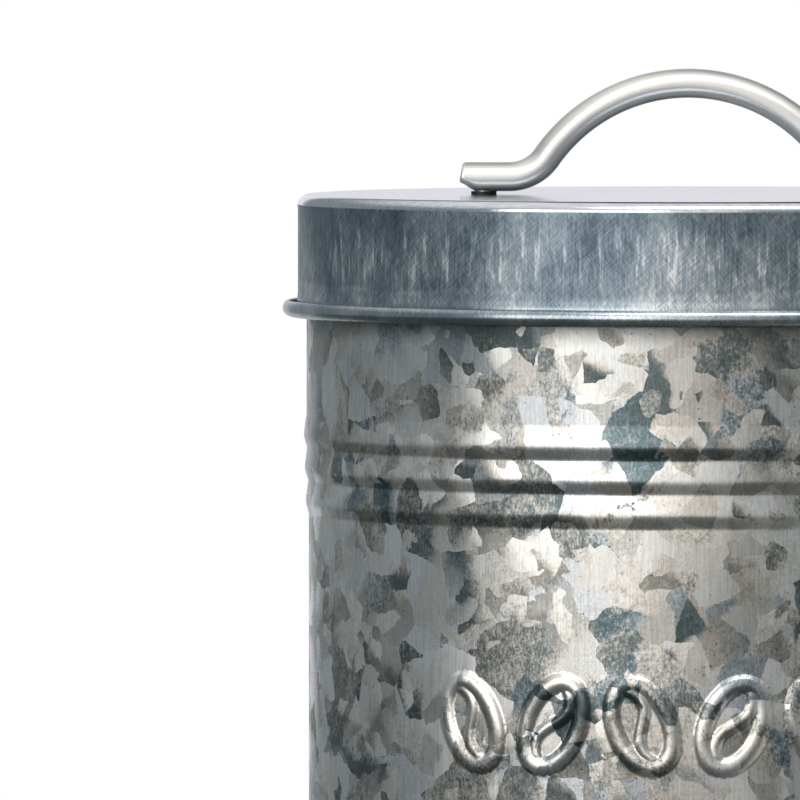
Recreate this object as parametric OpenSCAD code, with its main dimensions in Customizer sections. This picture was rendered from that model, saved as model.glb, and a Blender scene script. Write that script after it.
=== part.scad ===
// A round galvanised coffee tin with a lift-off lid and a chromed bow handle.
// Origin: centre of the ring the tin stands on. +Z is up, and the pressed motif faces -Y.
// Every thin wall is a sheet of constant thickness, drawn as a path and thickened.

/* [Tin] */
// Height over the closed lid, without the handle
tin_h = 141; // [130:1:160]
// Outer diameter of the wall's waist, between the two groups of ribs
waist_d = 118.8; // [110:0.2:130]
// How much further out the bands above and below the ribs stand, on the radius
band_step = 0.35; // [0.1:0.05:0.6]
// Thickness of the zinc-coated sheet
sheet_t = 0.45; // [0.35:0.05:0.5]

/* [Ribs] */
// Ribs in each of the two groups
rib_count = 3; // [2:1:4]
// Height of one rib along the wall
rib_pitch = 5.2; // [4:0.1:6]
// How far a rib stands out
rib_depth = 0.45; // [0.2:0.05:0.8]
// Height of the motif's centre above the table, with the rib groups mirrored about it
motif_z = 60.9; // [55:0.1:70]
// Distance from the motif's centre to the middle of a rib group
rib_offset = 37.9; // [34:0.1:40]

/* [Pressed bean motif] */
// Beans in the row
bean_count = 6; // [4:1:7]
// Distance between beans along the wall
bean_pitch = 14.1; // [13:0.1:16]
// Length of one bean, over its outline
bean_l = 16.4; // [13:0.1:18]
// Width of one bean, over its outline
bean_w = 11.2; // [9:0.1:12]
// Width of the outline's bead
bean_stroke = 2.9; // [1.5:0.1:3]
// Tilt of a bean from upright, alternately left and right
bean_tilt = 24; // [0:1:35]
// How far the beads stand out
relief = 0.7; // [0.3:0.05:0.8]

/* [Lid] */
// Outer diameter of the lid's skirt
skirt_d = 122.2; // [121.6:0.1:124]
// Depth of the lid from its top to the bottom of its rolled edge
lid_depth = 19.2; // [16:0.1:24]
// Outer radius of the lid's drawn corner
corner_r = 1.8; // [1:0.1:2.2]
// Outer diameter of the lid's rolled edge
roll_d = 2.85; // [2.4:0.05:3.4]

/* [Handle] */
// Distance between the two fixing screws
screw_span = 64; // [60:1:70]
// Height of the handle above the lid
handle_rise = 19.6; // [16:0.1:26]
// Thickness of the bar
bar_t = 4.55; // [3.6:0.05:5]
// Width of the bar, from front to back
bar_w = 8; // [6:0.5:10]
// Radius of the arch, along the middle of the bar
arch_r = 27; // [25:0.1:29]
// Radius of the two reverse bends, along the middle of the bar
bend_r = 7.2; // [5:0.1:8]
// Distance from a screw to the end of the bar
foot_end = 4.05; // [3.5:0.05:6]

/* [Hidden] */

gap = 0.03;                  // seamed sheets lie this far apart
half_t = sheet_t / 2;
arc_steps = 16;              // points along a bend of the sheet
sheet_fn = 180;              // facets round the tin
bore_fn = 48;                // facets round a screw, a bore or a collar
through = 1;                 // how far a cut runs past the piece

// Wall of the can, on the middle of its sheet
waist_r = waist_d / 2 - half_t;
band_r = waist_r + band_step;
group_h = rib_count * rib_pitch;
low_group_z = motif_z - rib_offset - group_h / 2;
high_group_z = motif_z + rib_offset - group_h / 2;
rib_steps = 8;               // points along one rib

// Rolled mouth of the can, kept inside the lid's skirt
skirt_r = skirt_d / 2 - half_t;
skirt_clear = 0.25;          // between the mouth's roll and the skirt
mouth_r = 0.8;               // middle of the rolled sheet
neck_r = skirt_r - half_t - skirt_clear - half_t - 2 * mouth_r;
seal_t = 1.2;
seal_clear = 0.05;           // between the mouth and the seal
mouth_top = tin_h - sheet_t - seal_t - seal_clear;
mouth_z = mouth_top - half_t - mouth_r;
neck_z = mouth_z - 2;        // top of the neck's slope
neck_h = 3;
neck_steps = 8;
wall_end_z = sheet_t + gap;  // the wall's lower edge, inside the base's seam

// Beans
bean_steps = 28;             // points round a bean
crease_steps = 12;
crease_w = 0.72 * bean_stroke;
crease_l = bean_l - 1.5 * bean_stroke;   // its ends run into the outline
crease_swing = 0.1 * bean_w; // how far the crease bends to each side

// Lock seam down the inside of the back
seam_w = 4.6;
seam_t = 2 * sheet_t;
seam_angle = seam_w / waist_r * 180 / PI;
seam_bite = 0.1;             // how far the folded strip reaches into the wall

// Base
recess = 3;                  // height of the panel's underside above the table
seam_h = 3.2;                // height of the seam's outer leg
pan_in_r = band_r - sheet_t - gap;
pan_out_r = band_r + sheet_t + gap;
pan_bend = 0.3;
panel_bend = 0.6;
ring_r = 46;                 // stiffening ring pressed into the panel
ring_w = 3;
ring_depth = 0.7;

// Lid
lid_z = tin_h - half_t;
corner_step = 0.1;           // the drawn corner stands this far proud of the skirt
mid_corner = corner_r - half_t;
corner_lip = 0.3;
roll_mid_r = roll_d / 2 - half_t;
roll_z = tin_h - lid_depth + roll_d / 2;
roll_wrap = 270;             // how far round the rolled edge goes before its free end

// Seal, a flat ring that fills the lid's corner
seal_chamfer = 0.35;
seal_out = skirt_r + corner_step - mid_corner + seal_chamfer - seal_clear;
seal_in = 57.8;

// Handle
collar_t = 0.42;
collar_d = 4.0;
bar_z = tin_h + collar_t + bar_t / 2;
arch_z = tin_h + handle_rise - bar_t / 2 - arch_r;
bend_z = bar_z + bend_r;
bend_x = sqrt(pow(arch_r + bend_r, 2) - pow(bend_z - arch_z, 2));
arch_half = atan2(bend_x, bend_z - arch_z);
foot_x = screw_span / 2 + foot_end;
bar_steps = 8;               // points round each edge of the bar
bend_steps = 8;              // points along a reverse bend
arch_steps = 26;             // points along the arch
thread_d = 3.0;              // M3, drawn plain
shank_d = 2.96;
thread_depth = 3.2;          // of the bore in the bar
shank_clear = 0.2;           // between the shank's end and the bore's
collar_bore = 3.1;
clear_d = 3.3;
washer_d = 7;
washer_t = 0.5;
head_d = 5.8;
head_h = 2.2;
head_crown = 0.7;
cross_w = 0.9;
cross_l = 3.2;
cross_depth = 1.1;
shank_l = washer_t + sheet_t + collar_t + thread_depth - shank_clear;

// Paths and sheets -----------------------------------------------------

function unit(v) = v / norm(v);
function left_of(v) = [-v[1], v[0]];
function along(p, i) = unit(p[min(i + 1, len(p) - 1)] - p[max(i - 1, 0)]);
function shifted(p, d) = [for (i = [0:len(p) - 1]) p[i] + d * left_of(along(p, i))];
function reversed(p) = [for (i = [len(p) - 1:-1:0]) p[i]];
function arc(c, r, from, to, n = arc_steps) =
    [for (i = [0:n]) let (a = from + (to - from) * i / n) c + r * [cos(a), sin(a)]];

// The sheet from a to b, measured along the path's left-hand normal
module sheet_2d(path, a, b) polygon(concat(shifted(path, b), reversed(shifted(path, a))));

module sheet_of_revolution(path) rotate_extrude($fn = sheet_fn) sheet_2d(path, -half_t, half_t);

// Can ------------------------------------------------------------------

// One group of ribs, upwards from z: rounded crests between sharp creases, from radius a to radius b
function ribs(z, a, b) =
    [for (i = [0:rib_count * rib_steps])
        let (u = i / rib_steps)
        [a + (b - a) * u / rib_count + rib_depth * abs(sin(180 * u)), z + u * rib_pitch]];

function neck() =
    [for (i = [0:neck_steps])
        let (u = i / neck_steps)
        [band_r + (neck_r - band_r) * (1 - cos(180 * u)) / 2, neck_z + (u - 1) * neck_h]];

function wall_path() = concat(ribs(low_group_z, band_r, waist_r),
                              ribs(high_group_z, waist_r, band_r), neck());

function can_path() = concat([[band_r, wall_end_z]], wall_path(),
                             arc([neck_r + mouth_r, mouth_z], mouth_r, 180, -95));

function oval(w, l) =
    [for (i = [0:bean_steps - 1])
        let (a = 360 * i / bean_steps)
        [w / 2 * cos(a), l / 2 * sin(a)]];

// A bean outline with an S-shaped crease, lying in the XY plane
module bean_2d() {
    difference() {
        polygon(oval(bean_w, bean_l));
        polygon(oval(bean_w - 2 * bean_stroke, bean_l - 2 * bean_stroke));
    }
    crease = [for (i = [0:crease_steps])
        let (u = 2 * i / crease_steps - 1)
        [crease_swing * sin(180 * u), u * crease_l / 2]];
    sheet_2d(crease, -crease_w / 2, crease_w / 2);
}

module bean_row() {
    outer_r = waist_d / 2;
    step = bean_pitch / outer_r * 180 / PI;
    intersection() {
        translate([0, 0, motif_z - bean_l]) difference() {
            cylinder(r = outer_r + relief, h = 2 * bean_l, $fn = sheet_fn);
            translate([0, 0, -through])
                cylinder(r = outer_r - half_t, h = 2 * (bean_l + through), $fn = sheet_fn);
        }
        for (i = [0:bean_count - 1])
            rotate([0, 0, (i - (bean_count - 1) / 2) * step])
                translate([0, 0, motif_z])
                    rotate([90, 0, 0])
                        linear_extrude(height = waist_d)
                            rotate((i % 2 == 0 ? 1 : -1) * bean_tilt) bean_2d();
    }
}

module can_shell() {
    color("darkgray") {
        sheet_of_revolution(can_path());
        rotate_extrude(angle = seam_angle, start = 90 - seam_angle / 2, $fn = sheet_fn)
            sheet_2d(wall_path(), half_t - seam_bite, half_t + seam_t);
        bean_row();
    }
}

// The panel sits up inside the wall, and its edge folds down, under and up around the wall's lower edge
module base_pan() {
    z = recess + half_t;
    fold_in = pan_in_r + pan_bend;
    fold_out = pan_out_r - pan_bend;
    path = concat(
        [[0, z], [ring_r, z], [ring_r + ring_depth, z - ring_depth],
         [ring_r + ring_w - ring_depth, z - ring_depth], [ring_r + ring_w, z]],
        arc([pan_in_r - panel_bend, z - panel_bend], panel_bend, 90, 0, 6),
        arc([fold_in, half_t + pan_bend], pan_bend, 180, 270, 4),
        arc([fold_out, half_t + pan_bend], pan_bend, 270, 360, 4),
        [[pan_out_r, seam_h]]);
    color("darkgray") sheet_of_revolution(path);
}

// Lid ------------------------------------------------------------------

module at_screws() for (s = [-1, 1]) translate([s * screw_span / 2, 0, 0]) children();

module lid_shell() {
    proud_r = skirt_r + corner_step;
    corner_z = lid_z - mid_corner;
    path = concat(
        [[0, lid_z]],
        arc([proud_r - mid_corner, corner_z], mid_corner, 90, 0, 8),
        [[skirt_r, corner_z - corner_lip]],
        arc([skirt_r + roll_mid_r, roll_z], roll_mid_r, 180, 180 + roll_wrap, 20));
    color("silver") difference() {
        sheet_of_revolution(path);
        at_screws() translate([0, 0, lid_z - through]) cylinder(d = clear_d, h = 2 * through, $fn = bore_fn);
    }
}

module lid_seal() {
    low = tin_h - sheet_t - seal_t;
    color("whitesmoke") rotate_extrude($fn = sheet_fn)
        polygon([[seal_in, low], [seal_out, low], [seal_out, low + seal_t - seal_chamfer],
                 [seal_out - seal_chamfer, low + seal_t], [seal_in, low + seal_t]]);
}

// Handle ---------------------------------------------------------------

// Flat bar with fully rounded edges: thickness first, then width
function bar_section() =
    let (edge_y = (bar_w - bar_t) / 2)
    concat(arc([0, edge_y], bar_t / 2, 0, 180, bar_steps),
           arc([0, -edge_y], bar_t / 2, 180, 360, bar_steps));

// Middle of the bar in the XZ plane, from the left end over the arch to the right end
function bar_path() = concat(
    [[-foot_x, bar_z]],
    arc([-bend_x, bend_z], bend_r, 270, 270 + arch_half, bend_steps),
    arc([0, arch_z], arch_r, 90 + arch_half, 90 - arch_half, arch_steps),
    arc([bend_x, bend_z], bend_r, 270 - arch_half, 270, bend_steps),
    [[foot_x, bar_z]]);

function without_repeats(p) = [for (i = [0:len(p) - 1]) if (i == 0 || norm(p[i] - p[i - 1]) > 0.01) p[i]];

// The section swept along the path, with flat ends
module swept_bar(path, section) {
    n = len(section);
    last = len(path) - 1;
    points = [for (i = [0:last], q = section)
        let (side = left_of(along(path, i)))
        [path[i][0] + q[0] * side[0], q[1], path[i][1] + q[0] * side[1]]];
    sides = [for (i = [0:last - 1], j = [0:n - 1])
        let (k = (j + 1) % n)
        [i * n + j, i * n + k, (i + 1) * n + k, (i + 1) * n + j]];
    ends = [[for (j = [n - 1:-1:0]) j], [for (j = [0:n - 1]) last * n + j]];
    polyhedron(points = points, faces = concat(sides, ends), convexity = 4);
}

module handle_bar() {
    color("gainsboro") difference() {
        swept_bar(without_repeats(bar_path()), bar_section());
        at_screws() translate([0, 0, tin_h]) cylinder(d = thread_d, h = collar_t + thread_depth, $fn = bore_fn);
    }
}

module handle_collar(side) {
    color("black") translate([side * screw_span / 2, 0, tin_h]) difference() {
        cylinder(d = collar_d, h = collar_t, $fn = bore_fn);
        translate([0, 0, -through]) cylinder(d = collar_bore, h = collar_t + 2 * through, $fn = bore_fn);
    }
}

module handle_washer(side) {
    color("lightgray") translate([side * screw_span / 2, 0, tin_h - sheet_t - washer_t]) difference() {
        cylinder(d = washer_d, h = washer_t, $fn = bore_fn);
        translate([0, 0, -through]) cylinder(d = clear_d, h = washer_t + 2 * through, $fn = bore_fn);
    }
}

// Pan head under the lid, with a cross recess and a plain shank up into the bar
module handle_screw(side) {
    head_z = tin_h - sheet_t - washer_t;
    crown_r = (pow(head_d / 2, 2) + pow(head_crown, 2)) / (2 * head_crown);
    crown_a = asin(head_d / 2 / crown_r);
    color("silver") translate([side * screw_span / 2, 0, head_z]) {
        difference() {
            rotate_extrude($fn = bore_fn)
                polygon(concat([[0, 0], [head_d / 2, 0]],
                               arc([0, crown_r - head_h], crown_r, 270 + crown_a, 270, 6)));
            for (turn = [0, 90]) rotate([0, 0, turn])
                translate([-cross_l / 2, -cross_w / 2, -head_h - through])
                    cube([cross_l, cross_w, cross_depth + through]);
        }
        cylinder(d = shank_d, h = shank_l, $fn = bore_fn);
    }
}

can_shell();
base_pan();
lid_shell();
lid_seal();
handle_bar();
handle_collar(-1);  // handle_collar_left
handle_collar(1);  // handle_collar_right
handle_washer(-1);  // handle_washer_left
handle_washer(1);  // handle_washer_right
handle_screw(-1);  // handle_screw_left
handle_screw(1);  // handle_screw_right
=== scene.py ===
"""Looks of the coffee tin: fine meshes for its sheet-metal pieces, their materials, and a soft studio.

Sizes are in millimetres and are turned into metres by MM. Heights and radii come from the frame where
the frame knows them. The front of the tin faces -Y.
"""
from math import atan2, cos, pi, radians, sin, sqrt

import bmesh
import bpy
import numpy as np
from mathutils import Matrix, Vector


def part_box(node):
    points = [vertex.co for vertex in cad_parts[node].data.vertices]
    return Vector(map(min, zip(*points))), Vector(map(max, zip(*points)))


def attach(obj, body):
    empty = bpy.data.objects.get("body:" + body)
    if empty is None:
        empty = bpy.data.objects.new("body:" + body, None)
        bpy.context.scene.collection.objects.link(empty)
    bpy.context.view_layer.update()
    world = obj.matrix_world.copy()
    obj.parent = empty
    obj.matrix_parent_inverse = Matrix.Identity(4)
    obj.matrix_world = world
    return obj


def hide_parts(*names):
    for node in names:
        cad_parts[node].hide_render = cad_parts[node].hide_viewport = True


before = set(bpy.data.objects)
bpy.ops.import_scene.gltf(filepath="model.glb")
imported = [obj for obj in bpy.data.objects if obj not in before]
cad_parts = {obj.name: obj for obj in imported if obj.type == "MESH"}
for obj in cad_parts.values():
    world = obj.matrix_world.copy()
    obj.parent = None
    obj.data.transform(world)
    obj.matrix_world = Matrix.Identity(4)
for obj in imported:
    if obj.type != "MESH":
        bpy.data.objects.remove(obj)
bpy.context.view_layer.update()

MM = 0.001

# Sheet and driving sizes, as on the CAD part ----------------------------------------------------
SHEET = 0.45 * MM
HALF = SHEET / 2
WAIST_R = 59.4 * MM - HALF      # middle of the sheet, between the rib groups
BAND_R = WAIST_R + 0.35 * MM    # middle of the sheet, beyond them
RIB_COUNT = 3
RIB_PITCH = 5.2 * MM
RIB_DEPTH = 0.45 * MM
RIB_CREST = 0.37                # where a rib's crest lies, from its lower crease to its upper one
RIB_ROUND = 0.22                # how softly a rib's two flanks meet at the crest
MOTIF_Z = 60.9 * MM
RIB_OFFSET = 37.9 * MM          # from the motif's middle to the middle of a rib group

TIN_LOW, TIN_HIGH = (Vector(corner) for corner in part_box("lid_shell"))
TIN_TOP = TIN_HIGH.z
CAN_LOW, CAN_HIGH = (Vector(corner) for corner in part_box("can_shell"))
BASE_LOW, BASE_HIGH = (Vector(corner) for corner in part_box("base_pan"))
SEAL_LOW, SEAL_HIGH = (Vector(corner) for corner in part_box("lid_seal"))
BAR_LOW, BAR_HIGH = (Vector(corner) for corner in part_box("handle_bar"))


# Curves and meshes ------------------------------------------------------------------------------

EDGE_POINTS = 5                 # on the rounding of a sheet's edge
MERGE = 1e-7                    # distance, in metres, under which points are one
SOFT_EDGE = 40                  # angle in degrees up to which a bend is shaded smooth


def arc(centre, radii, start, end, count):
    """Points on an ellipse's arc, with angles in degrees."""
    angles = np.radians(np.linspace(start, end, count))
    x = centre[0] + radii[0] * np.cos(angles)
    y = centre[1] + radii[1] * np.sin(angles)
    return np.column_stack((x, y))


def normals(path):
    """Left-hand normals of a path of (r, z) points."""
    step = np.gradient(path, axis=0)
    step /= np.linalg.norm(step, axis=1)[:, None]
    return np.column_stack((-step[:, 1], step[:, 0]))


def thicken(path, round_start=True):
    """A sheet's closed outline: its middle line moved half a thickness each way, with rounded edges.

    A sheet that starts on the tin's axis has no edge there, so round_start is False for it.
    """
    side = normals(path)
    parts = [path - side * HALF, edge_round(path[-1], side[-1]), (path + side * HALF)[::-1]]
    if round_start:
        parts.append(edge_round(path[0], -side[0]))
    return np.vstack(parts)


def edge_round(point, side):
    """Half a circle from one face of the sheet to the other, round the edge at a point."""
    ahead = np.array((side[1], -side[0]))
    angles = np.linspace(-pi / 2, pi / 2, EDGE_POINTS + 2)[1:-1]
    return point + HALF * (np.outer(np.cos(angles), ahead) + np.outer(np.sin(angles), side))


def grid_faces(rows, columns, close_rows, close_columns):
    """Quads over a grid of points that is numbered row by row."""
    r = np.arange(rows if close_rows else rows - 1)
    c = np.arange(columns if close_columns else columns - 1)
    r0, c0 = (a.ravel() for a in np.meshgrid(r, c, indexing="ij"))
    r1, c1 = (r0 + 1) % rows, (c0 + 1) % columns
    return np.column_stack((r0 * columns + c0, r1 * columns + c0, r1 * columns + c1, r0 * columns + c1))


def new_object(name, points, faces, sharp=SOFT_EDGE):
    """A smooth-shaded object whose edges are sharp where they turn by more than an angle."""
    mesh = bpy.data.meshes.new(name)
    mesh.from_pydata([tuple(point) for point in points], [], [tuple(face) for face in faces])
    bm = bmesh.new()
    bm.from_mesh(mesh)
    bmesh.ops.remove_doubles(bm, verts=bm.verts, dist=MERGE)
    bmesh.ops.dissolve_degenerate(bm, dist=MERGE, edges=bm.edges)
    bmesh.ops.recalc_face_normals(bm, faces=bm.faces)
    bm.to_mesh(mesh)
    bm.free()
    mesh.polygons.foreach_set("use_smooth", [True] * len(mesh.polygons))
    mesh.set_sharp_from_angle(angle=radians(sharp))
    made = bpy.data.objects.new(name, mesh)
    bpy.context.scene.collection.objects.link(made)
    return made


def even_angles(count):
    """Angles of so many equal steps round a circle."""
    return np.arange(count) * 2 * pi / count


def revolve(name, outline, angles, push=None, closed=True):
    """An outline of (r, z) points turned about Z; push(angle, z) moves points outwards."""
    turn, r = np.meshgrid(angles, outline[:, 0])
    z = np.repeat(outline[:, 1][:, None], len(angles), axis=1)
    if push is not None:
        r = r + push(turn, z)
    points = np.column_stack(((r * np.cos(turn)).ravel(), (r * np.sin(turn)).ravel(), z.ravel()))
    return new_object(name, points, grid_faces(len(outline), len(angles), closed, True))


def smooth_step(x):
    """0 up to 0, 1 from 1, and an S-shaped curve between them."""
    x = np.clip(x, 0, 1)
    return x * x * (3 - 2 * x)


# Can wall ---------------------------------------------------------------------------------------

GROUP_H = RIB_COUNT * RIB_PITCH
LOW_RIBS = MOTIF_Z - RIB_OFFSET - GROUP_H / 2
HIGH_RIBS = MOTIF_Z + RIB_OFFSET - GROUP_H / 2
MOUTH_R = 0.8 * MM                       # middle of the rolled mouth's sheet
NECK_R = 58.575 * MM                     # middle of the sheet, above the neck
MOUTH_Z = CAN_HIGH.z - HALF - MOUTH_R
NECK_TOP = MOUTH_Z - 2 * MM
NECK_H = 3 * MM
SEAM_W = 4.6 * MM
SEAM_T = 2 * SHEET

BEAN_COUNT = 6
BEAN_PITCH = 14.1 * MM
BEAN_L, BEAN_W = 16.4 * MM, 11.2 * MM
BEAN_STROKE = 2.9 * MM
BEAN_TILT = radians(24)
RELIEF = 0.7 * MM
BEAN_DOME = 0.16 * MM
BEAD_FLATNESS, BEAD_EDGE = 2.2, 0.8      # powers that give a pressed bead its flat crown and steep edges
CREASE_REACH = 0.93                      # of the outline's half length
CREASE_SWING = 0.13                      # of the bean's width
CREASE_STROKE = 0.72                     # of the outline's stroke
CREASE_SHARE = 0.85                      # of the outline's height
CREASE_FADE = 0.8 * MM                   # length over which the crease fades at its ends
BEAN_HEART = 0.3                         # of the outline's radius; inside it there is no outline
TINY = 1e-9

# Mesh of the wall: close rows and columns over the ribs and the motif, and wider ones elsewhere
RIB_ROWS = 18
MOTIF_ROWS = 88
MOTIF_COLUMNS = 430
REST_COLUMNS = 210
CLOSE_MARGIN = 0.3 * MM                  # how far a rib group's close rows reach past it
MOTIF_BAND = 0.6 * BEAN_L                # how far the motif's close rows reach from its middle


def wall_radius(z):
    """Middle of the wall's sheet at a height, with its ribs."""
    r = np.full_like(z, BAND_R)
    for low, step in ((LOW_RIBS, WAIST_R - BAND_R), (HIGH_RIBS, BAND_R - WAIST_R)):
        u = np.clip((z - low) / GROUP_H, 0, 1)
        r += step * smooth_step(u) + RIB_DEPTH * rib_wave((u * RIB_COUNT) % 1)
    return r


def rib_wave(u):
    """One rib, from crease to crease: a steep lower flank, a round crest and a longer upper flank."""
    lower, upper = u / RIB_CREST, (1 - u) / (1 - RIB_CREST)
    blend = np.clip(1 - np.abs(lower - upper) / (2 * RIB_ROUND), 0, 1)
    return (np.minimum(lower, upper) - RIB_ROUND / 2 * blend ** 2) / (1 - RIB_ROUND / 2)


def wall_rows():
    """Heights of the wall's rows, from its lower edge to the top of its neck."""
    low_ribs = LOW_RIBS - CLOSE_MARGIN, LOW_RIBS + GROUP_H + CLOSE_MARGIN
    high_ribs = HIGH_RIBS - CLOSE_MARGIN, HIGH_RIBS + GROUP_H + CLOSE_MARGIN
    band = MOTIF_Z - MOTIF_BAND, MOTIF_Z + MOTIF_BAND
    neck = NECK_TOP - NECK_H, NECK_TOP
    stretches = (
        (CAN_LOW.z, low_ribs[0], 6),
        (*low_ribs, RIB_COUNT * RIB_ROWS),
        (low_ribs[1], band[0], 8),
        (*band, MOTIF_ROWS),
        (band[1], high_ribs[0], 8),
        (*high_ribs, RIB_COUNT * RIB_ROWS),
        (high_ribs[1], neck[0], 6),
    )
    rows = [np.linspace(*stretch, endpoint=False) for stretch in stretches]
    return np.concatenate((*rows, np.linspace(*neck, 10)))


def wall_path():
    """Middle line of the wall's sheet as (r, z) points, from its lower edge to the mouth's roll."""
    z = wall_rows()
    neck = smooth_step((z - NECK_TOP + NECK_H) / NECK_H) * (BAND_R - NECK_R)
    wall = np.column_stack((wall_radius(z) - neck, z))
    roll = arc((NECK_R + MOUTH_R, MOUTH_Z), (MOUTH_R, MOUTH_R), 180, -100, 22)
    return np.vstack((wall, roll))


def bead(distance, stroke):
    """Height of a rounded bead, from 1 on its middle line to 0 at its edges."""
    x = np.clip(np.abs(distance) / (stroke / 2), 0, 1)
    return (1 - x ** BEAD_FLATNESS) ** BEAD_EDGE


def bean_crease(u, v, half_length):
    """The S-shaped crease down an upright bean, from 0 to 1, which fades out before its ends."""
    reach = half_length * CREASE_REACH
    swing = CREASE_SWING * BEAN_W
    bend = swing * np.sin(pi * v / reach)
    tilt = swing * pi / reach * np.cos(pi * v / reach)
    crease = bead((u - bend) / np.sqrt(1 + tilt ** 2), BEAN_STROKE * CREASE_STROKE)
    return crease * smooth_step((reach - np.abs(v)) / CREASE_FADE)


def bean_height(u, v):
    """Height of one upright bean's relief at a place on the wall, from its middle."""
    a, b = (BEAN_W - BEAN_STROKE) / 2, (BEAN_L - BEAN_STROKE) / 2
    ring = np.sqrt((u / a) ** 2 + (v / b) ** 2) + TINY
    slope = np.sqrt((u / a ** 2) ** 2 + (v / b ** 2) ** 2) / ring + TINY
    outline = bead((ring - 1) / slope, BEAN_STROKE) * (ring > BEAN_HEART)
    dome = BEAN_DOME * np.clip(1 - ring ** 2, 0, 1)
    return np.maximum(RELIEF * np.maximum(outline, CREASE_SHARE * bean_crease(u, v, b)), dome)


def motif(turn, z):
    """Relief of the row of beans at an angle and a height; every second bean leans the other way."""
    front = (turn + pi / 2 + pi) % (2 * pi) - pi
    s, v = front * (WAIST_R + HALF), z - MOTIF_Z
    height = np.zeros_like(s)
    for i in range(BEAN_COUNT):
        u = s - (i - (BEAN_COUNT - 1) / 2) * BEAN_PITCH
        tilt = BEAN_TILT if i % 2 == 0 else -BEAN_TILT
        bean = bean_height(u * cos(tilt) + v * sin(tilt), v * cos(tilt) - u * sin(tilt))
        height = np.maximum(height, bean)
    return height


def wall_angles():
    """Close columns over the motif, and wider ones round the rest of the wall."""
    reach = ((BEAN_COUNT - 1) / 2 * BEAN_PITCH + BEAN_W) / WAIST_R
    fine = np.linspace(-pi / 2 - reach, -pi / 2 + reach, MOTIF_COLUMNS, endpoint=False)
    rest = np.linspace(-pi / 2 + reach, 3 * pi / 2 - reach, REST_COLUMNS, endpoint=False)
    return np.concatenate((fine, rest))


def make_can():
    """The wall with its neck, its rolled mouth, its ribs and the pressed row of beans."""
    can = revolve("can_wall", thicken(wall_path()), wall_angles(), push=motif)
    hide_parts("can_shell")
    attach(can, "can")
    return can


def seam_section():
    """Points across the lock seam: (along the wall, depth into the can), with lips sunk in the wall."""
    half_w = SEAM_W / 2
    lip = 0.35 * MM
    sunk = -0.03 * MM
    shoulder = 0.7 * SEAM_T
    left = [(-half_w - lip, sunk), (-half_w, 0.0), (-half_w, shoulder), (-half_w + lip, SEAM_T)]
    return left + [(-along, depth) for along, depth in reversed(left)]


def make_seam():
    """The folded lock seam down the inside of the back."""
    z = np.linspace(BASE_HIGH.z, NECK_TOP - NECK_H, 160)
    across = seam_section()
    points = []
    for radius, height in zip(wall_radius(z) - HALF, z):
        for along, depth in across:
            angle = pi / 2 + along / radius
            r = radius - depth
            points.append((r * cos(angle), r * sin(angle), height))
    faces = [tuple(face) for face in grid_faces(len(z), len(across), False, True)]
    first_end = tuple(range(len(across)))
    last_end = tuple(range(len(points) - len(across), len(points)))
    seam = new_object("can_seam", np.array(points), faces + [first_end, last_end], sharp=50)
    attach(seam, "can")
    return seam


# Base -------------------------------------------------------------------------------------------

BASE_RECESS = 3 * MM                     # from the floor up to the panel's underside
SEAM_GAP = 0.03 * MM                     # between the wall and the sheet folded round it
BASE_FOLD = 0.3 * MM
BASE_BEND = 0.6 * MM
RING_R, RING_W, RING_DEPTH = 46 * MM, 3 * MM, 0.7 * MM


def base_path():
    """Middle line of the base's sheet as (r, z) points: panel, stiffening ring, and the seam's folds."""
    z = BASE_RECESS + HALF
    inner = BAND_R - SHEET - SEAM_GAP
    outer = BAND_R + SHEET + SEAM_GAP
    fold, bend = BASE_FOLD, BASE_BEND
    u = np.linspace(0, 1, 13)
    ring = np.column_stack((RING_R + RING_W * u, z - RING_DEPTH * np.sin(pi * u) ** 2))
    return np.vstack((
        np.column_stack((np.linspace(0.0, RING_R - 0.5 * MM, 24), np.full(24, z))),
        ring,
        [[inner - bend - 0.4 * MM, z]],
        arc((inner - bend, z - bend), (bend, bend), 90, 0, 8),
        arc((inner + fold, HALF + fold), (fold, fold), 180, 270, 6),
        arc((outer - fold, HALF + fold), (fold, fold), 270, 360, 6),
        [[outer, BASE_HIGH.z - 0.8 * MM], [outer, BASE_HIGH.z - HALF]],
    ))


def make_base():
    """The pressed base, seamed round the wall's lower edge."""
    outline = thicken(base_path(), round_start=False)
    base = revolve("base", outline, even_angles(300), closed=False)
    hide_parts("base_pan")
    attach(base, "can")
    return base


# Lid --------------------------------------------------------------------------------------------

SKIRT_R = 61.1 * MM - HALF               # middle of the sheet
CORNER_STEP = 0.1 * MM                   # how far the top's corner stands proud of the skirt
CORNER_R = 1.8 * MM - HALF               # middle of the sheet
STRIP_H = 1.62 * MM                      # from the lid's top down to where the proud corner ends
ROLL_W = TIN_HIGH.x - HALF - SKIRT_R     # across the roll, at the middle of its sheet
ROLL_TALL = 1.12 * MM                    # half of the roll's height, at the middle of its sheet
ROLL_LIFT = 0.1 * MM                     # from the lid's lowest point to the roll's outside
FLARE = 0.22 * MM
FLARE_START = 2.6 * MM                   # from the roll's middle up to where the skirt starts to flare
FLARE_H = 1.4 * MM


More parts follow.
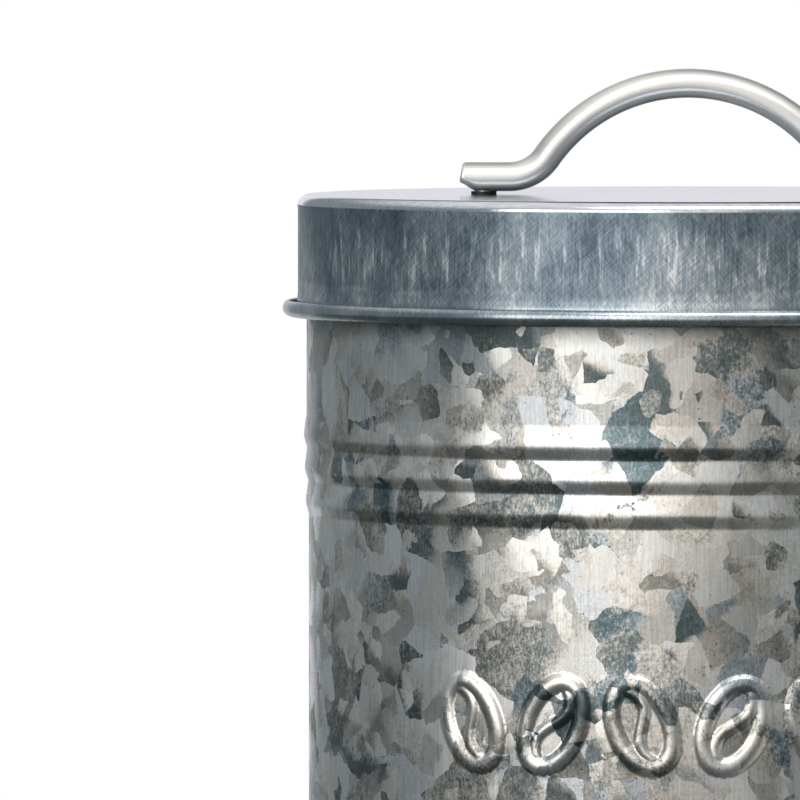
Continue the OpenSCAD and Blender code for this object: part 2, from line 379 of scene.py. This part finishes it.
def lid_path():
    """Middle line of the lid's sheet as (r, z) points, from the middle of its top to its roll."""
    top = TIN_TOP - HALF
    proud = SKIRT_R + CORNER_STEP
    half_roll = ROLL_W / 2
    roll_z = TIN_LOW.z + ROLL_LIFT + HALF + ROLL_TALL
    roll_middle = (SKIRT_R + half_roll + FLARE * 0.3, roll_z)
    strip_z = TIN_TOP - STRIP_H
    flare_z = roll_z + FLARE_START
    skirt_z = np.linspace(strip_z - 0.8 * MM, flare_z + 0.4 * MM, 9)
    u = np.linspace(0, 1, 8)
    return np.vstack((
        np.column_stack((np.linspace(0.0, proud - CORNER_R - 0.1 * MM, 16), np.full(16, top))),
        arc((proud - CORNER_R, top - CORNER_R), (CORNER_R, CORNER_R), 90, 0, 12),
        [[proud - 0.3 * CORNER_STEP, strip_z]],
        [[SKIRT_R - 0.02 * MM, strip_z - 0.12 * MM]],
        [[SKIRT_R, strip_z - 0.4 * MM]],
        np.column_stack((np.full(9, SKIRT_R), skirt_z)),
        np.column_stack((SKIRT_R + FLARE * smooth_step(u) * 0.6, flare_z - u * FLARE_H)),
        arc(roll_middle, (half_roll - FLARE * 0.3, ROLL_TALL), 168, 420, 40),
    ))


def make_lid():
    """The drawn lid, with its corner standing proud of the skirt and an open roll round its edge."""
    outline = thicken(lid_path(), round_start=False)
    lid = revolve("lid", outline, even_angles(400), closed=False)
    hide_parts("lid_shell")
    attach(lid, "lid")
    return lid


SEAL_IN = 57.8 * MM                      # the ring's inner radius
SEAL_EDGE = 0.3 * MM                     # radius of its four edges
GROOVE_HALF_W, GROOVE_DEPTH = 0.75 * MM, 0.3 * MM


def make_seal():
    """A silicone ring with a groove that the can's mouth presses into."""
    low, high = SEAL_LOW.z, SEAL_HIGH.z
    out, inn, edge = SEAL_HIGH.x, SEAL_IN, SEAL_EDGE
    groove = arc(((out + inn) / 2, low), (GROOVE_HALF_W, GROOVE_DEPTH), 0, 180, 9)[::-1]
    outline = np.vstack((
        arc((inn + edge, low + edge), (edge, edge), 180, 270, 5),
        groove,
        arc((out - edge, low + edge), (edge, edge), 270, 360, 5),
        arc((out - edge, high - edge), (edge, edge), 0, 90, 5),
        arc((inn + edge, high - edge), (edge, edge), 90, 180, 5),
    ))
    seal = revolve("seal", outline, even_angles(240))
    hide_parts("lid_seal")
    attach(seal, "seal")
    return seal


# Handle -----------------------------------------------------------------------------------------

BAR_T = 4.55 * MM
BAR_W = BAR_HIGH.y - BAR_LOW.y
ARCH_R = 27.0 * MM
BEND_R = 7.2 * MM
BAR_Z = BAR_LOW.z + BAR_T / 2
ARCH_Z = BAR_HIGH.z - BAR_T / 2 - ARCH_R
BEND_Z = BAR_Z + BEND_R
BEND_X = sqrt((ARCH_R + BEND_R) ** 2 - (BEND_Z - ARCH_Z) ** 2)
ARCH_HALF = np.degrees(atan2(BEND_X, BEND_Z - ARCH_Z))
FOOT_X = BAR_HIGH.x
FOOT_SLANT = 0.8 * MM           # how far back the top of a foot's end leans
FOOT_SLANT_REACH = 3 * MM
ROCKER = 1.3 * MM               # how far a foot's sole curves up by its end
ROCKER_REACH = 3.4 * MM
ROCKER_POWER = 1.2
NOSE = 0.55 * MM                # length of the rounding at the bar's ends
NOSE_SHARE = 0.16               # of the bar's size, which that rounding takes off
SECTION_POWER = 2 / 2.3         # below 1, so that the section is a little squarer than an ellipse
SECTION_POINTS = 56


def bar_path():
    """Middle of the bar in the XZ plane, from the left end to the right end."""
    flat = np.linspace(-FOOT_X, -BEND_X, 40, endpoint=False)
    left = np.vstack((
        np.column_stack((flat, np.full(40, BAR_Z))),
        arc((-BEND_X, BEND_Z), (BEND_R, BEND_R), 270, 270 + ARCH_HALF, 30)[:-1],
    ))
    arch = arc((0, ARCH_Z), (ARCH_R, ARCH_R), 90 + ARCH_HALF, 90 - ARCH_HALF, 101)
    right = left[::-1] * (-1, 1)
    return np.vstack((left, arch, right))


def bar_section():
    """Points round the bar: x across its thickness, y across its width, both from -1 to 1."""
    angles = even_angles(SECTION_POINTS)
    x = np.sign(np.cos(angles)) * np.abs(np.cos(angles)) ** SECTION_POWER
    y = np.sign(np.sin(angles)) * np.abs(np.sin(angles)) ** SECTION_POWER
    return np.column_stack((x, y))


def bar_ring(point, normal, from_end, section):
    """The bar's outline round one point of its middle line, as (x, y, z) points."""
    top = BAR_T / 2
    lift = ROCKER * (1 - smooth_step(from_end / ROCKER_REACH)) ** ROCKER_POWER
    nose = np.clip(1 - from_end / NOSE, 0, 1)
    size = 1 - NOSE_SHARE * (1 - np.sqrt(1 - nose ** 2))
    across = np.where(section[:, 0] > 0, section[:, 0] * top, section[:, 0] * (top - lift))
    across = lift / 2 + (across - lift / 2) * size
    width = section[:, 1] * BAR_W / 2 * (1 - (1 - size) * BAR_T / BAR_W)
    lean = FOOT_SLANT * smooth_step(1 - from_end / FOOT_SLANT_REACH)
    slant = -np.sign(point[0]) * lean * (across + top) / BAR_T
    return np.column_stack((point[0] + normal[0] * across + slant, width, point[1] + normal[1] * across))


def fan(ring, centre, count):
    """Triangles from a ring of points to a point in its middle."""
    first = ring * count
    return [(first + j, first + (j + 1) % count, centre) for j in range(count)]


def make_handle():
    """The bow handle, with both of its feet."""
    path = bar_path()
    run = np.concatenate(([0], np.cumsum(np.linalg.norm(np.diff(path, axis=0), axis=1))))
    from_end = np.minimum(run, run[-1] - run)
    section = bar_section()
    count = len(section)
    rings = [bar_ring(p, n, end, section) for p, n, end in zip(path, normals(path), from_end)]
    points = np.vstack((*rings, rings[0].mean(axis=0), rings[-1].mean(axis=0)))
    faces = [tuple(face) for face in grid_faces(len(rings), count, False, True)]
    ends = fan(0, len(points) - 2, count) + fan(len(rings) - 1, len(points) - 1, count)
    handle = new_object("handle", points, faces + ends, sharp=50)
    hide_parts("handle_bar")
    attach(handle, "lid")
    return handle


# Materials --------------------------------------------------------------------------------------

def tone(*levels):
    """A colour given in screen levels from 0 to 255, as linear RGBA."""
    def linear(level):
        c = level / 255
        return c / 12.92 if c <= 0.04045 else ((c + 0.055) / 1.055) ** 2.4
    return (*(linear(level) for level in levels), 1.0)


MID_GREY = (0.5, 0.5, 0.5)


class Shader:
    """A material's node tree, with short ways to add to it."""

    def __init__(self, name, data=None):
        self.data = data or bpy.data.materials.new(name)
        self.data.use_nodes = True
        self.tree = self.data.node_tree
        self.tree.nodes.clear()

    def surface(self, **values):
        """The material's one Principled shader."""
        bsdf = self.add("ShaderNodeBsdfPrincipled", **values)
        self.add("ShaderNodeOutputMaterial", Surface=bsdf.outputs[0])
        return self.data

    def add(self, kind, settings=None, **values):
        """A node with its properties and its inputs, each a value or another node's output."""
        node = self.tree.nodes.new(kind)
        for name, value in (settings or {}).items():
            setattr(node, name, value)
        for name, value in values.items():
            self.put(node.inputs[name.replace("_", " ")], value)
        return node

    def put(self, socket, value):
        """Links an output to an input, or sets the input's own value."""
        if isinstance(value, bpy.types.NodeSocket):
            self.tree.links.new(value, socket)
        else:
            socket.default_value = value

    def place(self):
        """Where a point is on the tin, in metres."""
        return self.add("ShaderNodeTexCoord").outputs["Object"]

    def math(self, operation, a, b=0.0):
        """A sum on one or two numbers."""
        node = self.add("ShaderNodeMath", {"operation": operation})
        self.put(node.inputs[0], a)
        self.put(node.inputs[1], b)
        return node.outputs[0]

    def vector(self, operation, a, b=(0.0, 0.0, 0.0), scale=None):
        """A sum on one or two vectors, or on a vector and a scale."""
        node = self.add("ShaderNodeVectorMath", {"operation": operation})
        self.put(node.inputs[0], a)
        if scale is None:
            self.put(node.inputs[1], b)
        else:
            self.put(node.inputs["Scale"], scale)
        is_number = operation in ("LENGTH", "DOT_PRODUCT")
        return node.outputs["Value" if is_number else "Vector"]

    def span(self, value, low, high, to_low=0.0, to_high=1.0, smooth=True):
        """Maps a value's range onto another, clamped."""
        kind = "SMOOTHSTEP" if smooth else "LINEAR"
        node = self.add("ShaderNodeMapRange", {"interpolation_type": kind}, Value=value,
                        From_Min=low, From_Max=high, To_Min=to_low, To_Max=to_high)
        return node.outputs["Result"]

    def swing(self, pattern, amount):
        """A pattern from 0 to 1, turned into one that varies by an amount about zero."""
        return self.math("MULTIPLY", self.math("SUBTRACT", pattern, 0.5), amount)

    def vector_swing(self, colour, amount):
        """A random colour, turned into a vector that varies by an amount about zero."""
        return self.vector("SCALE", self.vector("SUBTRACT", colour, MID_GREY), scale=amount)

    def mix(self, factor, a, b):
        """A colour between two others."""
        node = self.add("ShaderNodeMix", {"data_type": "RGBA"})
        self.put(node.inputs["Factor"], factor)
        self.put(node.inputs[6], a)
        self.put(node.inputs[7], b)
        return node.outputs[2]

    def ramp(self, value, stops):
        """A colour looked up from a value, between stops of (value, colour)."""
        node = self.add("ShaderNodeValToRGB", Fac=value)
        ramp = node.color_ramp
        while len(ramp.elements) < len(stops):
            ramp.elements.new(1.0)
        for element, (position, colour) in zip(ramp.elements, stops):
            element.position = position
            element.color = colour
        return node.outputs["Color"]

    def noise(self, place, size, detail=3.0, roughness=0.5, stretch=None, colour=False):
        """Noise whose features are about size across, in metres, stretched along an axis if asked."""
        if stretch:
            place = self.vector("MULTIPLY", place, stretch)
        node = self.add("ShaderNodeTexNoise", Vector=place, Scale=1 / size, Detail=detail,
                        Roughness=roughness)
        return node.outputs["Color" if colour else "Fac"]

    def cells(self, place, size):
        """A Voronoi node whose cells are about size across, in metres."""
        return self.add("ShaderNodeTexVoronoi", Vector=place, Scale=1 / size)

    def channel(self, colour, index):
        """One channel of a colour."""
        return self.add("ShaderNodeSeparateColor", Color=colour).outputs[index]

    def bump(self, height, distance, strength=1.0, normal=None):
        """A normal from a height pattern whose full range is a distance in metres."""
        node = self.add("ShaderNodeBump", Strength=strength, Distance=distance, Height=height)
        if normal is not None:
            self.put(node.inputs["Normal"], normal)
        return node.outputs["Normal"]


def around(shader, place):
    """A place with the wall laid flat: X runs along it from the middle of the front, Z upwards."""
    split = shader.add("ShaderNodeSeparateXYZ", Vector=place)
    forwards = shader.math("MULTIPLY", split.outputs["Y"], -1.0)
    turn = shader.math("ARCTAN2", split.outputs["X"], forwards)
    along = shader.math("MULTIPLY", turn, WAIST_R)
    return shader.add("ShaderNodeCombineXYZ", X=along, Z=split.outputs["Z"]).outputs[0]


def height_of(shader, place):
    """The height of a place."""
    return shader.add("ShaderNodeSeparateXYZ", Vector=place).outputs["Z"]


LARGEST_CRYSTAL = 14 * MM
CRYSTALS = (
    # size, share that is drawn, shift that keeps the sizes apart
    (10.5 * MM, 1.1, 0.31),
    (7.2 * MM, 0.6, 0.17),
    (4.9 * MM, 0.36, 0.53),
    (3.1 * MM, 0.12, 0.71),
)
CRYSTAL_FADE = (-0.42, 0.02)    # where a crystal fades in, from its middle, as a share of its size
CRYSTAL_SHADE = 0.35            # how much a crystal's level changes from one side to the other


def patches(s, under, place, size, share):
    """Lays crystals of one size over what is under them.

    The colour carries each crystal's level, hue and coarseness. A crystal has a crisp edge on one side
    and fades out to the other; share is the part of the crystals that are drawn.
    """
    cell = s.cells(place, size)
    random = cell.outputs["Color"]
    way = s.vector("NORMALIZE", s.vector("SUBTRACT", random, MID_GREY))
    offset = s.vector("SUBTRACT", place, cell.outputs["Position"])
    along = s.math("MULTIPLY", s.vector("DOT_PRODUCT", offset, way), 1 / size)
    drawn = s.math("LESS_THAN", s.channel(random, 1), share)
    alpha = s.math("MULTIPLY", drawn, s.span(along, *CRYSTAL_FADE))
    slope = s.add("ShaderNodeCombineXYZ", X=s.math("MULTIPLY", along, CRYSTAL_SHADE)).outputs[0]
    return s.mix(alpha, under, s.vector("ADD", random, slope))


def crystals(s, place):
    """Crystals of every size over one another, with bent and frayed edges."""
    swirl = s.vector_swing(s.noise(place, 5.5 * MM, 1.0, colour=True), 3.4 * MM)
    fray = s.vector_swing(s.noise(place, 1.3 * MM, 2.0, 0.6, colour=True), 0.7 * MM)
    bent = s.vector("ADD", s.vector("ADD", place, swirl), fray)
    crystal = s.cells(bent, LARGEST_CRYSTAL).outputs["Color"]
    for size, share, shift in CRYSTALS:
        crystal = patches(s, crystal, s.vector("ADD", bent, (shift, shift, shift)), size, share)
    return crystal


def zinc_colour(s, level, hue):
    """Zinc from dark to bright by its level, in a warm or a cool grey by its hue."""
    warm = s.ramp(level, (
        (0.00, tone(84, 96, 98)),
        (0.16, tone(126, 132, 130)),
        (0.32, tone(178, 172, 163)),
        (0.48, tone(212, 206, 198)),
        (0.70, tone(230, 226, 220)),
        (1.00, tone(243, 241, 237)),
    ))
    cool = s.ramp(level, (
        (0.00, tone(72, 90, 91)),
        (0.16, tone(106, 120, 125)),
        (0.32, tone(157, 164, 169)),
        (0.48, tone(198, 201, 205)),
        (0.70, tone(222, 223, 225)),
        (1.00, tone(240, 240, 240)),
    ))
    return s.mix(s.span(hue, 0.42, 0.62), warm, cool)


def shade_under_lid(s, on_tin, grit):
    """How much painted shade darkens the wall below the lid: a ragged band just under the roll, fading
    down the wall.
    """
    height = height_of(s, on_tin)
    edge = s.math("ADD", height, s.swing(grit, 2.5 * MM))
    band = s.span(edge, TIN_LOW.z - 3.6 * MM, TIN_LOW.z + 0.3 * MM, 0.0, 0.62)
    band = s.math("ADD", band, s.span(height, TIN_LOW.z - 24 * MM, TIN_LOW.z, 0.0, 0.17))
    covered = s.span(height, TIN_LOW.z + 2.6 * MM, TIN_LOW.z + 0.4 * MM, 0.12, 1.0)
    return s.math("MULTIPLY", band, covered)


def zinc_pits(s, place):
    """Small dark pits, in some parts of the sheet only."""
    pits = s.span(s.cells(place, 1.7 * MM).outputs["Distance"], 0.06, 0.14, 1.0, 0.0)
    return s.math("MULTIPLY", pits, s.span(s.noise(place, 7 * MM, 2.0), 0.48, 0.58))


def galvanised(name, brushed=1.0, shift=0.0):
    """Hot-dip zinc: smooth and mottled crystals, finely brushed and pitted, with painted shade just below
    the lid.

    Two sheets with different shifts, in metres, don't share crystals where they meet.
    """
    s = Shader(name)
    on_tin = s.place()
    place = s.vector("ADD", on_tin, (shift, shift, shift))
    crystal = crystals(s, place)
    level, hue, coarse = (s.channel(crystal, index) for index in range(3))
    speck = s.noise(place, 0.38 * MM, 4.0, 0.85, stretch=(1.0, 1.0, 0.6))
    grit = s.noise(place, 1.5 * MM, 6.0, 0.8)
    strokes = s.noise(place, 0.32 * MM, 3.0, 0.6, stretch=(1.0, 1.0, 0.05))
    pits = zinc_pits(s, place)

    mottle = s.math("ADD", s.swing(speck, 1.3), s.swing(grit, 0.8))
    mottle = s.math("MULTIPLY", mottle, s.span(coarse, 0.35, 0.75, 0.55, 1.30))
    level = s.math("ADD", 0.045, s.math("MULTIPLY", level, 0.9))
    level = s.math("ADD", level, s.swing(s.noise(place, 30 * MM, 2.0), 0.75))
    level = s.math("ADD", level, mottle)
    colour = zinc_colour(s, level, hue)
    colour = s.mix(s.span(strokes, 0.35, 0.62, 0.20 * brushed, 0.0), colour, tone(118, 122, 118))
    colour = s.mix(s.span(strokes, 0.55, 0.75, 0.0, 0.20 * brushed), colour, tone(236, 233, 226))
    colour = s.mix(s.math("MULTIPLY", pits, 0.6), colour, tone(72, 68, 60))
    # painted shade: the wall darkened just below the lid's roll, fading down the wall
    colour = s.mix(shade_under_lid(s, on_tin, grit), colour, tone(70, 76, 74))

    roughness = s.span(coarse, 0.2, 0.8, 0.24, 0.36, smooth=False)
    roughness = s.math("ADD", roughness, s.swing(speck, 0.15))
    outwards = s.add("ShaderNodeNewGeometry").outputs["Normal"]
    normal = s.vector("NORMALIZE", s.vector("ADD", outwards, s.vector_swing(crystal, 0.10)))
    relief = s.math("ADD", speck, s.math("MULTIPLY", strokes, 0.5))
    relief = s.math("ADD", relief, s.math("MULTIPLY", pits, -0.6))
    normal = s.bump(relief, 0.03 * MM, 0.6, normal)
    return s.surface(Base_Color=colour, Metallic=1.0, Roughness=roughness, Normal=normal)


def turned(s, place, rotation):
    """A place turned about the axes by angles in degrees."""
    angles = tuple(radians(angle) for angle in rotation)
    return s.add("ShaderNodeMapping", {"vector_type": "POINT"}, Vector=place, Rotation=angles).outputs[0]


def brush_marks(s, place, angle, size):
    """Long fine marks at an angle in degrees from upright, from 0 to 0.5, so that two sets add up to 1."""
    marks = s.noise(turned(s, place, (0.0, angle, 0.0)), size, 3.0, 0.7, stretch=(1.0, 1.0, 0.09))
    return s.math("MULTIPLY", marks, 0.5)


def skirt_level(s, place, height, patterns, on_roll, calm):
    """How bright the lid's skirt is: even, with streaks in its middle, a draw line and fine marks, a
    little darker towards its top, and a roll painted lighter for a brighter highlight.
    """
    middle = s.math("MULTIPLY", s.span(height, TIN_LOW.z + 4.5 * MM, TIN_LOW.z + 8 * MM),
                    s.span(height, TIN_TOP - 2.5 * MM, TIN_TOP - 6 * MM))
    streaks = s.noise(place, 1.25 * MM, 4.0, 0.65, stretch=(1.0, 1.0, 0.14))
    wave = s.swing(s.noise(place, 26 * MM, 3.0, stretch=(1.0, 1.0, 0.0)), 6 * MM)
    draw_line = s.math("SUBTRACT", height, wave)
    level = s.math("ADD", 0.44, s.span(draw_line, TIN_LOW.z + 5.0 * MM, TIN_LOW.z + 5.8 * MM, 0.13, 0.0))
    level = s.math("ADD", level, s.math("MULTIPLY", s.span(streaks, 0.50, 0.68, 0.0, 0.42), middle))
    for pattern, amount in patterns:
        level = s.math("ADD", level, s.math("MULTIPLY", s.swing(pattern, amount), calm))
    level = s.math("ADD", level, s.span(height, TIN_TOP - 12 * MM, TIN_TOP - 3 * MM, 0.0, -0.14))
    # painted highlight: the roll's tone is raised so that its highlight reads brighter
    return s.math("ADD", level, s.math("MULTIPLY", on_roll, 0.10))


def lid_top_colour(s, height, marks):
    """The brushed flat top, and round it the corner, painted brighter as a highlight."""
    flat = s.ramp(marks, ((0.3, tone(144, 152, 160)), (0.7, tone(184, 191, 198))))
    # painted highlight: the corner gets a lighter colour than the flat top, standing in for the light it
    # reflects
    corner = s.ramp(marks, ((0.3, tone(204, 209, 216)), (0.7, tone(236, 238, 242))))
    return s.mix(s.span(height, TIN_TOP - 0.14 * MM, TIN_TOP - 0.03 * MM), corner, flat)


def drawn_steel(name):
    """The lid's sheet: blue-grey, with streaks from the drawing die and fine slanting brush marks."""
    s = Shader(name)
    place = s.place()
    wall = around(s, place)
    height = height_of(s, place)
    on_top = s.span(height, TIN_TOP - STRIP_H - 0.05 * MM, TIN_TOP - STRIP_H + 0.15 * MM)
    on_roll = s.span(height, TIN_LOW.z + 3.3 * MM, TIN_LOW.z + 2.7 * MM)
    calm = s.math("SUBTRACT", 1.0, s.math("MULTIPLY", on_roll, 0.5))
    fine = s.noise(place, 0.34 * MM, 4.0, 0.7, stretch=(1.0, 1.0, 0.10))
    slant = s.math("ADD", brush_marks(s, wall, 36, 0.26 * MM), brush_marks(s, wall, -48, 0.3 * MM))
    broad = s.noise(place, 11 * MM, 4.0, 0.6, stretch=(1.0, 1.0, 0.6))
    level = skirt_level(s, place, height, ((slant, 1.7), (fine, 1.0), (broad, 1.6)), on_roll, calm)
    colour = s.ramp(level, (
        (0.0, tone(82, 96, 106)),
        (0.3, tone(120, 133, 142)),
        (0.6, tone(157, 167, 174)),
        (1.0, tone(228, 230, 230)),
    ))
    top_marks = s.noise(turned(s, place, (0.0, 0.0, 20)), 0.4 * MM, 3.0, 0.6, stretch=(0.05, 1.0, 1.0))
    colour = s.mix(on_top, colour, lid_top_colour(s, height, top_marks))
    roughness = s.span(level, 0.1, 0.9, 0.38, 0.50, smooth=False)
    roughness = s.math("SUBTRACT", roughness, s.math("MULTIPLY", on_roll, 0.20))
    roughness = s.add("ShaderNodeMix", {"data_type": "FLOAT"}, Factor=on_top, A=roughness,
                      B=s.span(top_marks, 0.3, 0.7, 0.07, 0.12)).outputs[0]
    normal = s.bump(s.math("MULTIPLY", s.math("ADD", slant, fine), calm), 0.02 * MM, 0.5)
    return s.surface(Base_Color=colour, Metallic=1.0, Roughness=roughness, Normal=normal)


def satin_chrome(name):
    """The handle's soft, slightly warm chrome, with a fine grain along the bar."""
    s = Shader(name)
    place = s.place()
    grain = s.noise(place, 0.25 * MM, 3.0, 0.6, stretch=(0.15, 1.0, 0.4))
    haze = s.noise(place, 9 * MM, 3.0)
    colour = s.mix(haze, tone(230, 227, 222), tone(238, 235, 231))
    roughness = s.math("ADD", s.span(haze, 0.3, 0.7, 0.40, 0.45), s.math("MULTIPLY", grain, 0.05))
    normal = s.bump(grain, 0.004 * MM, 0.4)
    return s.surface(Base_Color=colour, Metallic=1.0, Roughness=roughness, Normal=normal)


def black_nylon(name):
    """The collars' black plastic, finely grained."""
    s = Shader(name)
    grain = s.noise(s.place(), 0.18 * MM, 4.0, 0.6)
    colour = s.mix(grain, tone(14, 14, 15), tone(34, 34, 35))
    roughness = s.span(grain, 0.3, 0.7, 0.4, 0.6)
    return s.surface(Base_Color=colour, Roughness=roughness, Normal=s.bump(grain, 0.02 * MM, 0.5))


def milky_silicone(name):
    """The seal's pale, slightly cloudy silicone."""
    s = Shader(name)
    place = s.place()
    cloud = s.noise(place, 6 * MM, 3.0)
    dust = s.noise(place, 0.3 * MM, 4.0, 0.7)
    colour = s.mix(cloud, tone(206, 206, 200), tone(226, 226, 222))
    roughness = s.span(dust, 0.3, 0.7, 0.45, 0.65)
    reach = 2 * MM
    return s.surface(Base_Color=colour, Roughness=roughness, Subsurface_Weight=0.15,
                     Subsurface_Radius=(reach, reach, reach), Normal=s.bump(dust, 0.01 * MM, 0.4))


def zinc_plate(name):
    """The bright plating of the screws and washers."""
    s = Shader(name)
    place = s.place()
    cloud = s.noise(place, 2.5 * MM, 4.0, 0.6)
    grain = s.noise(place, 0.15 * MM, 3.0, 0.6)
    colour = s.mix(cloud, tone(176, 180, 186), tone(212, 214, 216))
    roughness = s.math("ADD", s.span(cloud, 0.3, 0.7, 0.22, 0.34), s.math("MULTIPLY", grain, 0.06))
    normal = s.bump(grain, 0.006 * MM, 0.4)
    return s.surface(Base_Color=colour, Metallic=1.0, Roughness=roughness, Normal=normal)


FRONT_LEFT = (-0.71, -0.71, 0.0)


def front_left(s, place):
    """1 to the front and left, where what the tin reflects is dim, and 0 behind and to the right."""
    way = s.vector("NORMALIZE", s.vector("MULTIPLY", place, (1.0, 1.0, 0.0)))
    return s.span(s.vector("DOT_PRODUCT", way, FRONT_LEFT), -0.35, 0.30)


WHITE = (1.0, 1.0, 1.0, 1.0)
BLACK = (0.0, 0.0, 0.0, 1.0)


def pale_floor(name):
    """Pale, melting into the white round it; what the tin reflects of it is dim on the front left."""
    s = Shader(name)
    place = s.place()
    cloud = s.noise(place, 0.4, 3.0)
    pale = s.mix(cloud, tone(232, 232, 231), tone(240, 240, 240))
    dim = s.mix(cloud, tone(66, 72, 71), tone(74, 80, 79))
    reflected = s.mix(front_left(s, place), tone(214, 216, 214), dim)
    seen = s.add("ShaderNodeLightPath").outputs["Is Camera Ray"]
    rim = s.math("MULTIPLY", seen, s.span(s.vector("LENGTH", place), 0.26, 0.56))
    colour = s.mix(rim, s.mix(seen, reflected, pale), BLACK)
    return s.surface(Base_Color=colour, Roughness=0.7, Emission_Color=WHITE, Emission_Strength=rim)


def paint(target, material):
    """Puts a material in every slot of a piece or of a CAD node."""
    if not target.material_slots:
        target.data.materials.append(material)
    for slot in target.material_slots:
        slot.material = material


# Studio -----------------------------------------------------------------------------------------

FLOOR_R = 0.6
FLOOR_GAP = 0.05 * MM
LIGHTS_AIM = (0.0, 0.0, 0.09)


def make_floor():
    """A round floor just under the tin."""
    bpy.ops.mesh.primitive_circle_add(vertices=128, radius=FLOOR_R, fill_type="NGON",
                                      location=(0, 0, BASE_LOW.z - FLOOR_GAP))
    floor = bpy.context.object
    floor.name = "floor"
    paint(floor, pale_floor("pale_floor"))


def facing(place, target):
    """The rotation that points a light or a camera from a place to a target."""
    return (target - place).to_track_quat("-Z", "Y").to_euler()


def softbox(name, azimuth, height, distance, size, power, colour=(1.0, 1.0, 1.0)):
    """An area light facing the tin; azimuth 0 is in front of it, and positive is to its right."""
    angle = radians(azimuth)
    place = Vector((distance * sin(angle), -distance * cos(angle), height))
    data = bpy.data.lights.new(name, "AREA")
    data.shape = "RECTANGLE"
    data.size, data.size_y = size
    data.energy = power
    data.color = colour
    light = bpy.data.objects.new(name, data)
    light.location = place
    light.rotation_euler = facing(place, Vector(LIGHTS_AIM))
    light.visible_camera = False
    bpy.context.scene.collection.objects.link(light)


def make_world():
    """White where the camera sees it; what surfaces reflect is brightest behind, above and in front."""
    world = bpy.data.worlds.new("studio")
    bpy.context.scene.world = world
    s = Shader("studio", world)
    way = s.add("ShaderNodeTexCoord").outputs["Generated"]
    split = s.add("ShaderNodeSeparateXYZ", Vector=way)
    x, y, z = (split.outputs[axis] for axis in "XYZ")
    side = s.mix(s.span(x, -0.3, 0.9), tone(134, 143, 147), tone(144, 152, 154))
    ahead = s.math("MULTIPLY", s.span(s.math("ABSOLUTE", x), 0.36, 0.16), s.span(y, 0.2, -0.1))
    room = s.mix(ahead, side, tone(232, 230, 227))
    room = s.mix(s.span(z, 0.35, 0.85), room, tone(240, 240, 240))
    raised = s.math("MULTIPLY", s.span(z, 0.20, 0.34), s.span(x, -0.22, -0.04))
    room = s.mix(s.math("MULTIPLY", s.span(y, 0.4, 0.7), raised), room, tone(60, 68, 73))
    room = s.mix(s.span(y, 0.92, 0.95), room, tone(240, 238, 245))
    below = s.mix(front_left(s, way), tone(196, 200, 200), tone(38, 46, 44))
    room = s.mix(s.span(z, -0.34, -0.17), below, room)
    seen = s.mix(s.add("ShaderNodeLightPath").outputs["Is Camera Ray"], room, WHITE)
    background = s.add("ShaderNodeBackground", Color=seen, Strength=1.0)
    s.add("ShaderNodeOutputWorld", Surface=background.outputs[0])


CAMERA_AWAY = 2.4
CAMERA_ABOVE = 0.050            # above the lid's top
CAMERA_LENS = 690.0
CAMERA_AIM = (-0.04513, 0.0, 0.1087)


def make_camera():
    """A long lens, well in front and a little above the lid, aimed so that the right side is cropped."""
    data = bpy.data.cameras.new("camera")
    data.sensor_width = 36.0
    data.lens = CAMERA_LENS
    data.clip_start, data.clip_end = 0.05, 60.0
    camera = bpy.data.objects.new("camera", data)
    camera.location = (0.0, -CAMERA_AWAY, TIN_TOP + CAMERA_ABOVE)
    camera.rotation_euler = facing(camera.location, Vector(CAMERA_AIM))
    bpy.context.scene.collection.objects.link(camera)
    bpy.context.scene.camera = camera


def main():
    """Builds the camera, the pieces with their materials, and the studio."""
    make_camera()
    spangle = galvanised("galvanised_wall")
    plate = zinc_plate("bright_zinc")
    nylon = black_nylon("black_nylon")
    for piece, material in (
        (make_can(), spangle),
        (make_seam(), spangle),
        (make_base(), galvanised("galvanised_base", 0.6, 0.3)),
        (make_lid(), drawn_steel("drawn_steel")),
        (make_seal(), milky_silicone("milky_silicone")),
        (make_handle(), satin_chrome("satin_chrome")),
    ):
        paint(piece, material)
    for side in ("left", "right"):
        paint(bpy.data.objects["handle_collar_" + side], nylon)
        paint(bpy.data.objects["handle_washer_" + side], plate)
        paint(bpy.data.objects["handle_screw_" + side], plate)
    make_floor()
    make_world()
    softbox("key", -33, 0.45, 1.3, (1.15, 0.9), 6.5, (1.0, 0.985, 0.965))
    softbox("top", 8, 1.5, 0.75, (1.3, 0.5), 9.0)
    bpy.context.scene.view_settings.view_transform = "Standard"


main()
